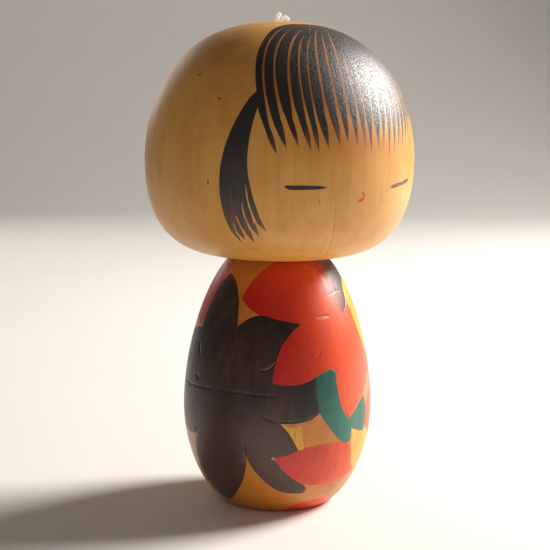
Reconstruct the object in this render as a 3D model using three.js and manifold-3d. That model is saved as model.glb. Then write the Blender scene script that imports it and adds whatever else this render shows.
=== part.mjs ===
// Kokeshi doll: a turned and painted wooden doll whose head turns on a dowel in the body.
// Millimetres, +Z up. The origin is the centre of the flat base, and the face looks towards -Y.

import * as THREE from 'three';
import * as BufferGeometryUtils from 'three/addons/utils/BufferGeometryUtils.js';
import Module from 'manifold-3d';

// Driving dimensions of the turned wood.
const DOLL_HEIGHT = 150; // flat base to the crown of the head
const SEAM_HEIGHT = 78; // where the head sits on the body
const SEAM_GAP = 0.3; // between the two seating faces
const HEAD_RADIUS = 41.7;
const HEAD_WIDEST = 108; // height of the head's widest ring
const HEAD_SEAT_RADIUS = 16.3; // flat ring under the head
const BODY_RADIUS = 29.7;
const BODY_WIDEST = 30.5; // height of the body's widest ring
const BODY_SEAT_RADIUS = 15.2; // flat top of the body
const BASE_RADIUS = 16.7; // flat face that the doll stands on

// The neck dowel and the blind holes that it stands in.
const DOWEL_RADIUS = 6;
const DOWEL_CHAMFER = 1;
const DOWEL_IN_BODY = 20;
const DOWEL_IN_HEAD = 24;
const DOWEL_CLEARANCE = 0.3; // all round the dowel, and at each end of it

// The cord stub at the crown: two strands side by side in a drilled hole, cut short above it.
const STRAND_RADIUS = 0.4;
const STRAND_SPACING = 0.7; // less than two radii, so the pair is one body
const CORD_DEPTH = 8;
const CORD_CLEARANCE = 0.3;
const HOLE_RADIUS = STRAND_SPACING / 2 + STRAND_RADIUS + CORD_CLEARANCE;
const UPRIGHT_END_HEIGHT = 2.5; // middle of the frayed tip, above the crown
const BENT_END_HEIGHT = 0.8;
const CORD_TURN = THREE.MathUtils.degToRad(-35); // about Z, from +X to the line of the two ends

const TURNING_SIDES = 48; // facets round the head and the body
const DOWEL_SIDES = 24;
const CURVE_STEPS = 10; // facets along each curve of an outline
const STRAND_SIDES = 8;
const STRAND_STEPS = 18;

const wasm = await Module();
wasm.setup();

// ---- Helpers ----

const point = (radius, height) => new THREE.Vector2(radius, height);

// The points of a smooth outline curve between two points, with its two control points.
function curve(start, startControl, endControl, end) {
  return new THREE.CubicBezierCurve(start, startControl, endControl, end).getPoints(CURVE_STEPS);
}

// A solid turned about Z from an outline that starts and ends on the axis.
function turned(outline, sides) {
  const lathe = new THREE.LatheGeometry(outline, sides);
  lathe.rotateX(Math.PI / 2);
  return closed(lathe);
}

// The same surface with its shared vertices merged.
function closed(geometry) {
  geometry.deleteAttribute('normal');
  geometry.deleteAttribute('uv');
  return BufferGeometryUtils.mergeVertices(geometry, 1e-4);
}

function toManifold(geometry) {
  return new wasm.Manifold(new wasm.Mesh({
    numProp: 3,
    vertProperties: geometry.attributes.position.array,
    triVerts: Uint32Array.from(geometry.index.array),
  }));
}

function fromManifold(solid) {
  const mesh = solid.getMesh();
  const geometry = new THREE.BufferGeometry();
  geometry.setAttribute('position', new THREE.BufferAttribute(mesh.vertProperties, 3));
  geometry.setIndex(new THREE.BufferAttribute(mesh.triVerts, 1));
  return geometry;
}

// One closed solid from several that overlap.
function joined(geometries) {
  return fromManifold(geometries.map(toManifold).reduce((sum, next) => sum.add(next)));
}

// A round strand of cord along a smooth route.
function strand(route, radius) {
  const section = new THREE.Shape();
  for (let side = 0; side < STRAND_SIDES; side += 1) {
    const angle = (2 * Math.PI * side) / STRAND_SIDES;
    const x = radius * Math.cos(angle);
    const y = radius * Math.sin(angle);
    if (side === 0) section.moveTo(x, y);
    else section.lineTo(x, y);
  }
  const path = new THREE.CatmullRomCurve3(route.map((p) => new THREE.Vector3(...p)));
  return closed(new THREE.ExtrudeGeometry(section, {
    steps: STRAND_STEPS,
    bevelEnabled: false,
    extrudePath: path,
  }));
}

// A rounded lump, such as a frayed end.
function lump([x, y, z], [width, depth, height]) {
  const ball = new THREE.SphereGeometry(1, STRAND_SIDES, STRAND_SIDES - 2);
  ball.scale(width, depth, height);
  ball.translate(x, y, z);
  return closed(ball);
}

// ---- Sub-parts ----

// A pear-shaped turning with a flat base and a blind hole down from its flat top.
function body() {
  const top = SEAM_HEIGHT - SEAM_GAP / 2;
  const holeRadius = DOWEL_RADIUS + DOWEL_CLEARANCE;
  const holeFloor = SEAM_HEIGHT - DOWEL_IN_BODY - DOWEL_CLEARANCE;
  return turned([
    point(0, 0),
    ...curve(point(BASE_RADIUS, 0), point(23, 3), point(BODY_RADIUS, 16.2), point(BODY_RADIUS, BODY_WIDEST)),
    ...curve(point(BODY_RADIUS, BODY_WIDEST), point(BODY_RADIUS, 48.4), point(23.5, 68.8),
      point(BODY_SEAT_RADIUS, top)).slice(1),
    point(holeRadius, top),
    point(holeRadius, holeFloor),
    point(0, holeFloor),
  ], TURNING_SIDES);
}

// A wide round turning with a blind hole up from its flat seat and the cord's hole down from its crown.
function head() {
  const seat = SEAM_HEIGHT + SEAM_GAP / 2;
  const holeRadius = DOWEL_RADIUS + DOWEL_CLEARANCE;
  const holeRoof = SEAM_HEIGHT + DOWEL_IN_HEAD + DOWEL_CLEARANCE;
  const cordFloor = DOLL_HEIGHT - CORD_DEPTH - CORD_CLEARANCE;
  return turned([
    point(0, holeRoof),
    point(holeRadius, holeRoof),
    point(holeRadius, seat),
    ...curve(point(HEAD_SEAT_RADIUS, seat), point(26, 79.2), point(HEAD_RADIUS, 80.8),
      point(HEAD_RADIUS, HEAD_WIDEST)),
    ...curve(point(HEAD_RADIUS, HEAD_WIDEST), point(HEAD_RADIUS, 119), point(37.2, DOLL_HEIGHT),
      point(HOLE_RADIUS, DOLL_HEIGHT)).slice(1),
    point(HOLE_RADIUS, cordFloor),
    point(0, cordFloor),
  ], TURNING_SIDES);
}

// A plain peg with chamfered ends, fixed in the head and turning in the body.
function neckDowel() {
  const bottom = SEAM_HEIGHT - DOWEL_IN_BODY;
  const top = SEAM_HEIGHT + DOWEL_IN_HEAD;
  return turned([
    point(0, bottom),
    point(DOWEL_RADIUS - DOWEL_CHAMFER, bottom),
    point(DOWEL_RADIUS, bottom + DOWEL_CHAMFER),
    point(DOWEL_RADIUS, top - DOWEL_CHAMFER),
    point(DOWEL_RADIUS - DOWEL_CHAMFER, top),
    point(0, top),
  ], DOWEL_SIDES);
}

// A doubled cotton cord out of the crown, cut short: one end stands up, and the other bends over.
function crownCord() {
  const side = STRAND_SPACING / 2;
  const root = DOLL_HEIGHT - CORD_DEPTH;
  const mouth = DOLL_HEIGHT - STRAND_RADIUS;
  const uprightEnd = DOLL_HEIGHT + UPRIGHT_END_HEIGHT;
  const bentEnd = DOLL_HEIGHT + BENT_END_HEIGHT;
  const cord = joined([
    strand([
      [-side, 0, root],
      [-side, 0, mouth],
      [-0.9, 0, DOLL_HEIGHT + 0.7],
      [-0.5, 0, DOLL_HEIGHT + 1.7],
      [-0.1, 0, uprightEnd],
    ], STRAND_RADIUS),
    strand([
      [side, 0, root],
      [side, 0, mouth],
      [0.9, 0, DOLL_HEIGHT + 0.8],
      [1.8, 0, DOLL_HEIGHT + 1.3],
      [2.5, 0, bentEnd],
    ], STRAND_RADIUS),
    lump([-0.1, 0, uprightEnd], [0.85, 0.6, 0.65]),
    lump([2.5, 0, bentEnd], [0.6, 0.6, 0.5]),
  ]);
  cord.rotateZ(CORD_TURN);
  return cord;
}

// ---- The doll ----

const doll = new THREE.Group();

const PAINTED_WOOD = new THREE.MeshStandardMaterial({ color: 0x6b3a26, roughness: 0.35, metalness: 0 });
const VARNISHED_WOOD = new THREE.MeshStandardMaterial({ color: 0xc48b45, roughness: 0.35, metalness: 0 });
const BARE_WOOD = new THREE.MeshStandardMaterial({ color: 0xcda470, roughness: 0.7, metalness: 0 });
const WHITE_COTTON = new THREE.MeshStandardMaterial({ color: 0xeeece6, roughness: 0.95, metalness: 0 });

function addPart(name, geometry, material) {
  const mesh = new THREE.Mesh(geometry, material);
  mesh.name = name;
  doll.add(mesh);
}

addPart('body', body(), PAINTED_WOOD);
addPart('head', head(), VARNISHED_WOOD);
addPart('neck_dowel', neckDowel(), BARE_WOOD);
addPart('crown_cord', crownCord(), WHITE_COTTON);

export default doll;
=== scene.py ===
"""The looks of a turned and painted kokeshi doll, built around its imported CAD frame.

The head and the body are turned shells. Their paint is laid out as outlines on the surface, and the
mesh is cut along every outline, so each patch of paint has its own faces and its own material.
Scratches and nicks are cut into the mesh too. Lengths in this file are millimetres until a mesh is
made. An angle round the doll is in degrees from the middle of the face, positive towards +X.
"""

import math

import bpy
import numpy as np
from mathutils import Matrix, Vector
from mathutils.geometry import delaunay_2d_cdt
from mathutils.kdtree import KDTree


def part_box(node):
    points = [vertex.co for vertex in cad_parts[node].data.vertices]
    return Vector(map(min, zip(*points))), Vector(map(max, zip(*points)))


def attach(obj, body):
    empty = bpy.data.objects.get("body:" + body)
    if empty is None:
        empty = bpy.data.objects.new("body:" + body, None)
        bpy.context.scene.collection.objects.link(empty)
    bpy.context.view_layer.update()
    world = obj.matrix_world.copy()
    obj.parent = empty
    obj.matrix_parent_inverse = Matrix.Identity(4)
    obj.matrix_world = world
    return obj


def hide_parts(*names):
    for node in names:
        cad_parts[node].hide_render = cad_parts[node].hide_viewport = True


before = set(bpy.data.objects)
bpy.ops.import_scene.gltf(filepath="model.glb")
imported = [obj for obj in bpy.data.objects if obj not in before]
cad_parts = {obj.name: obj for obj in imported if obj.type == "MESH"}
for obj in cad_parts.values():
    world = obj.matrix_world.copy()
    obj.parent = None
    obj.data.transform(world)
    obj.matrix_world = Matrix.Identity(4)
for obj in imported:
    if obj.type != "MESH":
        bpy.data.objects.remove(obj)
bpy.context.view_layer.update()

MM = 0.001
SEED = 7


def box_mm(node):
    low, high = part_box(node)
    return low / MM, high / MM


def unit(vectors):
    """Vectors scaled to a length of 1, each row on its own."""
    return vectors / np.maximum(np.linalg.norm(vectors, axis=-1, keepdims=True), 1e-9)


def quarter_turn(vectors):
    """Vectors on a plane, turned a quarter round."""
    return np.stack([-vectors[..., 1], vectors[..., 0]], -1)


def shares(count):
    """Even steps from 0 to 1, as a column."""
    return np.linspace(0.0, 1.0, count)[:, None]


def ramp(value, start, end):
    """0 before start, 1 past end, and even between them."""
    return np.clip((value - start) / (end - start), 0.0, 1.0)


def running_sum(steps):
    return np.concatenate([[0.0], np.cumsum(steps)])


def resampled(line, at, index):
    """A line's points at places between its own, which are numbered by index."""
    return np.stack([np.interp(at, index, column) for column in line.T], 1)


def turned(angle, radius, height):
    """Points at angles round the doll's axis."""
    a = np.radians(angle)
    return np.stack(np.broadcast_arrays(radius * np.sin(a), -radius * np.cos(a), height), -1)


def search_tree(places):
    tree = KDTree(len(places))
    for i, place in enumerate(places):
        tree.insert(place, i)
    tree.balance()
    return tree


def add_object(name, vertices, faces, materials=()):
    """A new smooth object. Its vertices are in millimetres."""
    mesh = bpy.data.meshes.new(name)
    mesh.from_pydata([tuple(c * MM for c in v) for v in vertices], [], faces)
    for material in materials:
        mesh.materials.append(material)
    mesh.polygons.foreach_set("use_smooth", [True] * len(faces))
    made = bpy.data.objects.new(name, mesh)
    bpy.context.scene.collection.objects.link(made)
    return made


_, BODY_HIGH = box_mm("body")
HEAD_LOW, HEAD_HIGH = box_mm("head")
DOWEL_LOW, DOWEL_HIGH = box_mm("neck_dowel")
CORD_LOW, CORD_HIGH = box_mm("crown_cord")
BODY_RADIUS = BODY_HIGH.x
HEAD_RADIUS = HEAD_HIGH.x
DOWEL_RADIUS = DOWEL_HIGH.x
CROWN = HEAD_HIGH.z

# ---- Camera ----

CAMERA_AZIMUTH = -35.0  # degrees from the middle of the face
CAMERA_DISTANCE = 412.5
CAMERA_HEIGHT = 132.5
CAMERA_SIDE = -1.05
CAMERA_PITCH = 8.4  # degrees down
CAMERA_ROLL = 0.5
CAMERA_LENS = 86.7
SENSOR_WIDTH = 36.0


def direction(azimuth, elevation=0.0):
    """The unit vector from the doll's axis towards an azimuth, measured from the face's middle."""
    a, e = math.radians(azimuth), math.radians(elevation)
    return Vector((math.sin(a) * math.cos(e), -math.cos(a) * math.cos(e), math.sin(e)))


def make_camera():
    data = bpy.data.cameras.new("camera")
    data.lens = CAMERA_LENS
    data.sensor_width = SENSOR_WIDTH
    camera = bpy.data.objects.new("camera", data)
    bpy.context.scene.collection.objects.link(camera)
    aim = -direction(CAMERA_AZIMUTH, CAMERA_PITCH)
    side = direction(CAMERA_AZIMUTH + 90.0)
    place = direction(CAMERA_AZIMUTH) * CAMERA_DISTANCE + side * CAMERA_SIDE
    place.z = CAMERA_HEIGHT
    turn = aim.to_track_quat("-Z", "Y").to_matrix() @ Matrix.Rotation(math.radians(CAMERA_ROLL), 3, "Z")
    camera.matrix_world = Matrix.Translation(place * MM) @ turn.to_4x4()
    bpy.context.scene.camera = camera


make_camera()

# ---- Outlines of the turned wood ----

CLEARANCE = 0.3  # between pieces that touch
SEAM_BODY, SEAM_HEAD = BODY_HIGH.z, HEAD_LOW.z
HOLE_RADIUS = DOWEL_RADIUS + CLEARANCE
CORD_HOLE_RADIUS = 1.05
HEAD_WIDEST, BODY_WIDEST = 108.0, 30.5
HEAD_SEAT_RADIUS, BODY_SEAT_RADIUS, BASE_RADIUS = 16.3, 15.2, 16.7
SEAT_INSIDE = 14.5  # the radius where the painted surface of a seat or base gives way to a plain one
EDGE_EASE = 1.2  # how far a corner's rounding reaches
EDGE_BAND = 0.3  # the height of a surface's end that counts as its top or its base
BEZIER_STEPS = 200
EASED_POINTS = 1600


def bezier(start, start_control, end_control, end):
    t = shares(BEZIER_STEPS + 1)
    points = [np.array(p, float) for p in (start, start_control, end_control, end)]
    weights = ((1 - t) ** 3, 3 * t * (1 - t) ** 2, 3 * t * t * (1 - t), t ** 3)
    return sum(w * p for w, p in zip(weights, points))


def eased(outline):
    """An outline with its corners rounded by averaging along its length."""
    length = running_sum(np.hypot(*np.diff(outline, axis=0).T))
    even = np.linspace(0.0, length[-1], EASED_POINTS)
    points = resampled(outline, even, length)
    half = int(EDGE_EASE / (even[1] - even[0]) / 2)
    kernel = np.hanning(2 * half + 3)[1:-1]
    kernel /= kernel.sum()
    padded = np.pad(points, ((half, half), (0, 0)), "reflect", reflect_type="odd")
    return np.stack([np.convolve(padded[:, i], kernel, "valid") for i in range(2)], 1)


class Turning:
    """A surface turned about Z, with its conformal chart: a flat ring whose middle is the top.

    Along the outline, s is the arc length from the top. In the chart, a point at angle a and arc
    length s lies at a radius grow(s), which keeps small shapes true all over the surface.
    """

    def __init__(self, outline):
        self.radius, self.height = outline[:, 0], outline[:, 1]
        step = np.hypot(np.diff(self.radius), np.diff(self.height))
        self.s = running_sum(step)
        self.log = running_sum(step * (1 / self.radius[1:] + 1 / self.radius[:-1]) / 2)
        slope_r = np.gradient(self.radius, self.s)
        slope_z = np.gradient(self.height, self.s)
        self.normal_r, self.normal_z = -slope_z, slope_r

    def arc(self, z):
        """The arc length at a height. Past the top or the base it runs on over the edge."""
        z = np.asarray(z, float)
        high, low = self.height.max() - EDGE_BAND, self.height.min() + EDGE_BAND
        inside = np.interp(-np.clip(z, low, high), -self.height, self.s)
        return inside - np.maximum(z - high, 0.0) + np.maximum(low - z, 0.0)

    def chart(self, angle, s):
        return turned(angle, np.exp(np.interp(s, self.s, self.log)), 0.0)[..., :2]

    def unchart(self, flat):
        grow = np.hypot(flat[:, 0], flat[:, 1])
        s = np.interp(np.log(grow), self.log, self.s)
        return np.degrees(np.arctan2(flat[:, 0], -flat[:, 1])), s

    def point(self, angle, s):
        return turned(angle, np.interp(s, self.s, self.radius), np.interp(s, self.s, self.height))

    def normal(self, angle, s):
        return unit(turned(angle, np.interp(s, self.s, self.normal_r), np.interp(s, self.s, self.normal_z)))


def turning_through(start, *stretches):
    """A Turning whose outline runs through curved stretches, each given by two controls and an end."""
    made = [np.array([start], float)]
    for first_control, last_control, end in stretches:
        made.append(bezier(start, first_control, last_control, end)[1:])
        start = end
    return Turning(eased(np.vstack(made)))


HEAD = turning_through(
    (CORD_HOLE_RADIUS, CROWN),
    ((37.2, CROWN), (HEAD_RADIUS, 119.0), (HEAD_RADIUS, HEAD_WIDEST)),
    ((HEAD_RADIUS, 80.8), (26.0, 79.2), (HEAD_SEAT_RADIUS, SEAM_HEAD)),
    ((16.0, SEAM_HEAD), (15.0, SEAM_HEAD), (SEAT_INSIDE, SEAM_HEAD)))
BODY = turning_through(
    (13.0, SEAM_BODY),
    ((13.5, SEAM_BODY), (14.5, SEAM_BODY), (BODY_SEAT_RADIUS, SEAM_BODY)),
    ((23.5, 68.8), (BODY_RADIUS, 48.4), (BODY_RADIUS, BODY_WIDEST)),
    ((BODY_RADIUS, 16.2), (23.0, 3.0), (BASE_RADIUS, 0.0)),
    ((16.0, 0.0), (15.0, 0.0), (SEAT_INSIDE, 0.0)))

# ---- Lines on a turned surface ----

LINE_STEP = 0.45
SIDE_RADIUS = 0.85  # a turning's middling radius on its side, as a share of its largest


def smooth(points, step=LINE_STEP):
    """A smooth open curve through points on a plane, as a centripetal Catmull-Rom spline."""
    points = np.array(points, float)
    if len(points) == 2:
        count = max(2, int(np.linalg.norm(points[1] - points[0]) / step) + 1)
        return points[0] + (points[1] - points[0]) * shares(count)
    ends = [2 * points[0] - points[1], 2 * points[-1] - points[-2]]
    p = np.vstack([ends[:1], points, ends[1:]])
    made = [points[:1]]
    for i in range(1, len(p) - 2):
        knots = running_sum([max(1e-6, np.linalg.norm(p[i + j] - p[i + j - 1])) ** 0.5 for j in range(3)])
        count = max(2, int(np.ceil(np.linalg.norm(p[i + 1] - p[i]) / step)))
        u = np.linspace(knots[1], knots[2], count + 1)[1:, None]

        def between(first, last, low, high):
            """From low at one knot to high at another."""
            span = knots[last] - knots[first]
            return (knots[last] - u) / span * low + (u - knots[first]) / span * high

        a = [between(j, j + 1, p[i + j - 1], p[i + j]) for j in range(3)]
        b = [between(j, j + 2, a[j], a[j + 1]) for j in range(2)]
        made.append(between(1, 2, b[0], b[1]))
    return np.vstack(made)


def side_curve(turning):
    """Draws smooth curves on a turning's side through (angle, height) points, as (angle, s) points."""
    degree = math.radians(turning.radius.max() * SIDE_RADIUS)

    def curve(points):
        made = smooth([(a * degree, turning.arc(z)) for a, z in points])
        return np.stack([made[:, 0] / degree, made[:, 1]], 1)
    return curve


def crown_curve(points):
    """A smooth curve through (sideways, forwards) points, measured over the head from its crown."""
    return from_crown(smooth(points))


def from_crown(points):
    """(sideways, forwards) millimetres measured over the surface from the crown, as (angle, s)."""
    points = np.asarray(points, float)
    s = np.hypot(points[:, 0], points[:, 1]) - CORD_HOLE_RADIUS
    return np.stack([np.degrees(np.arctan2(points[:, 0], points[:, 1])), np.maximum(s, 0.5)], 1)


def outline(curve, *runs):
    """A closed outline of smooth runs that meet at corners. Each run goes on from where the last ended."""
    joined, last = [], runs[-1][-1]
    for run in runs:
        joined.append(curve([last, *run])[:-1])
        last = run[-1]
    return np.vstack(joined)


on_body = side_curve(BODY)
on_head = side_curve(HEAD)

# ---- Painted turnings ----

MESH_STEP = 0.85
RIM_SIDES = 240
KEEP_CLEAR = 0.42  # from a line, as a share of the mesh step
GROOVE_FINENESS = 6  # places on a groove's line that depths are measured from, for each of its points
SHARP_ANGLE = 30.0


class Groove:
    """A line cut into the wood: its (angle, s) points, its width and its depth."""

    def __init__(self, line, width, depth):
        self.line, self.width, self.depth = line, width, depth

    def sides(self, turning):
        """The groove's two edges, each side of its middle and tapering to it at both ends."""
        place = turning.point(self.line[:, 0], self.line[:, 1])
        radius = np.hypot(place[:, 0], place[:, 1])
        flat = np.stack([np.radians(self.line[:, 0]) * radius, self.line[:, 1]], 1)
        along = unit(np.gradient(flat, axis=0))
        half = self.width / 2 * self.taper()
        made = []
        for sign in (-1, 1):
            across = quarter_turn(along) * (sign * half)[:, None]
            shifted = self.line.copy()
            shifted[:, 0] += np.degrees(across[:, 0] / radius)
            shifted[:, 1] += across[:, 1]
            made.append(shifted[1:-1])
        return made

    def taper(self):
        """How open the groove is along its length. It closes over the last fifth at each end."""
        t = np.linspace(0.0, 1.0, len(self.line))
        return ramp(np.minimum(t, 1 - t), 0.0, 0.2) ** 0.7


class Paint:
    """What is painted and cut on one turning, in layers from the ground up."""

    def __init__(self, turning):
        self.turning = turning
        self.layers = []
        self.grooves = []

    def add(self, material, outline):
        self.layers.append((material, outline))

    def cut(self, line, width, depth, material=None):
        """A groove along a line, its flanks bare to another material if one is given."""
        groove = Groove(line, width, depth)
        self.grooves.append(groove)
        if material is not None:
            left, right = groove.sides(self.turning)
            self.add(material, np.vstack([line[:1], left, line[-1:], right[::-1]]))


def spread_points(turning):
    """Points spread evenly over a turning, ring by ring, as (angle, s)."""
    rings = int(turning.s[-1] / MESH_STEP)
    made = []
    for i in range(1, rings):
        s = turning.s[-1] * i / rings
        count = max(12, round(2 * math.pi * np.interp(s, turning.s, turning.radius) / MESH_STEP))
        angle = (np.arange(count) + 0.5 * (i % 2)) * 360.0 / count - 180.0
        made.append(np.stack([angle, np.full(count, s)], 1))
    return np.vstack(made)


def clear_of(points, lines, turning, distance):
    """Those of points that are no nearer than distance to any of the lines."""
    crowded = np.vstack(lines)
    tree = search_tree(turning.point(crowded[:, 0], crowded[:, 1]))
    spots = turning.point(points[:, 0], points[:, 1])
    return points[np.array([tree.find(spot)[2] > distance for spot in spots])]


def groove_depths(paint, angle, s):
    """How deep each point lies in the grooves, and whether it is near one."""
    turning = paint.turning
    depth = np.zeros(len(angle))
    near = np.zeros(len(angle), bool)
    places, owners, eases = [], [], []
    for g, groove in enumerate(paint.grooves):
        fine = np.linspace(0, len(groove.line) - 1, len(groove.line) * GROOVE_FINENESS)
        index = np.arange(len(groove.line))
        line = resampled(groove.line, fine, index)
        places.append(turning.point(line[:, 0], line[:, 1]))
        owners.append(np.full(len(line), g))
        eases.append(np.interp(fine, index, groove.taper()))
    tree = search_tree(np.vstack(places))
    owners, eases = np.concatenate(owners), np.concatenate(eases)
    widest = max(g.width for g in paint.grooves)
    for i, spot in enumerate(turning.point(angle, s)):
        for _, at, distance in tree.find_range(spot, widest):
            groove = paint.grooves[owners[at]]
            half = groove.width / 2 * max(eases[at], 0.05)
            near[i] = near[i] or distance < groove.width
            if distance < half:
                depth[i] = max(depth[i], groove.depth * eases[at] * (1 - distance / half))
    return depth, near


def leftwards(turning, loop):
    """A closed outline, turned to run anticlockwise in the chart."""
    x, y = turning.chart(loop[:, 0], loop[:, 1]).T
    return loop if (x * np.roll(y, -1) - y * np.roll(x, -1)).sum() > 0 else loop[::-1]


def painted_surface(paint):
    """Cuts a turning's surface along its paint and grooves. Returns the vertices' angles and arc
    lengths, the triangles, and the number of the topmost layer on each, or -1 for the ground."""
    turning = paint.turning
    rim_angles = np.arange(RIM_SIDES) * 360.0 / RIM_SIDES
    rims = [np.stack([rim_angles, np.full(RIM_SIDES, s)], 1) for s in (turning.s[-1], 0.0)]
    loops = [leftwards(turning, loop) for loop in rims + [loop for _, loop in paint.layers]]
    lines = [g.line for g in paint.grooves] + [side for g in paint.grooves for side in g.sides(turning)]
    faces, edges = [], []
    count = 0
    for loop in loops:
        faces.append(list(range(count, count + len(loop))))
        count += len(loop)
    for line in lines:
        edges += [(i, i + 1) for i in range(count, count + len(line) - 1)]
        count += len(line)
    between = clear_of(spread_points(turning), loops + lines, turning, MESH_STEP * KEEP_CLEAR)
    points = np.vstack(loops + lines + [between])
    chart = turning.chart(points[:, 0], points[:, 1])
    cut_up = delaunay_2d_cdt([Vector(p) for p in chart], edges, faces, 0, 1e-6, True)
    flat, _, triangles, _, _, inside = cut_up
    kept = [i for i, owners in enumerate(inside) if 0 in owners and 1 not in owners]
    used = sorted({v for i in kept for v in triangles[i]})
    place = {v: n for n, v in enumerate(used)}
    angle, s = turning.unchart(np.array([flat[v][:] for v in used]))
    return angle, s, [[place[v] for v in triangles[i]] for i in kept], [max(inside[i]) - 2 for i in kept]


def open_rims(triangles, s, middle):
    """The vertices on the upper and the lower open rim, those whose arc length is under or over middle."""
    count = {}
    for triangle in triangles:
        for i in range(3):
            edge = frozenset((triangle[i], triangle[i - 1]))
            count[edge] = count.get(edge, 0) + 1
    rim = {v for edge, uses in count.items() if uses == 1 for v in edge}
    return [v for v in rim if s[v] < middle], [v for v in rim if s[v] >= middle]


def painted_turning(name, paint, top_steps, base_steps, materials, inner_material, attribute=None):
    """A closed mesh: the painted surface, carried on from each open rim through (radius, height)
    steps to a middle point on the axis. materials maps a layer's name to a Blender material."""
    turning = paint.turning
    angle, s, triangles, owners = painted_surface(paint)
    depth, near = groove_depths(paint, angle, s)
    normals = turning.normal(angle, s)
    vertices = [tuple(v) for v in turning.point(angle, s) - normals * depth[:, None]]
    names = list(materials)
    ground = names.index("ground")
    slots = [names.index(paint.layers[o][0]) if o >= 0 else ground for o in owners]
    faces = [tuple(t) for t in triangles]
    upper, lower = open_rims(triangles, s, turning.s[-1] / 2)
    for rim, steps, turn in ((upper, top_steps, 1), (lower, base_steps, -1)):
        ring = sorted(rim, key=lambda v: angle[v])
        around = np.array([angle[v] for v in ring])
        for radius, height in steps:
            first = len(vertices)
            if radius == 0:
                vertices.append((0.0, 0.0, height))
                faces += [(first, ring[i], ring[i - 1])[::turn] for i in range(len(ring))]
                break
            vertices += [tuple(v) for v in turned(around, radius, height)]
            following = list(range(first, first + len(ring)))
            faces += [(ring[i - 1], following[i - 1], following[i], ring[i])[::turn]
                      for i in range(len(ring))]
            ring = following
    slots += [len(names)] * (len(faces) - len(triangles))
    piece = add_object(name, vertices, faces, [*materials.values(), inner_material])
    mesh = piece.data
    mesh.polygons.foreach_set("material_index", slots)
    if attribute is not None:
        values = np.zeros((len(vertices), 3), np.float32)
        values[:len(angle)] = attribute(angle, s)
        made = mesh.attributes.new("stroke", "FLOAT_VECTOR", "POINT")
        made.data.foreach_set("vector", values.ravel())
    mesh.update()
    shading = np.array([v.vector[:] for v in mesh.vertex_normals])
    if (shading[:len(angle)] * normals).sum(1).mean() < 0:
        raise ValueError(f"{name}'s faces point inwards")
    far = np.flatnonzero(~near)
    shading[far] = normals[far]
    mesh.normals_split_custom_set_from_vertices([tuple(n) for n in shading])
    return piece


def lathe(name, steps, sides, material):
    """A closed solid turned about Z, through (radius, height) steps from its base to its top."""
    around = np.arange(sides) * 360.0 / sides
    vertices = [tuple(v) for radius, height in steps for v in turned(around, radius, height)]
    faces = []
    for first in range(0, len(vertices) - sides, sides):
        for j in range(sides):
            k = (j + 1) % sides
            faces.append((first + j, first + k, first + sides + k, first + sides + j))
    faces += [tuple(range(sides))[::-1], tuple(range(len(vertices) - sides, len(vertices)))]
    piece = add_object(name, vertices, faces, [material])
    piece.data.set_sharp_from_angle(angle=math.radians(SHARP_ANGLE))
    return piece


# ---- Shaders ----


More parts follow.
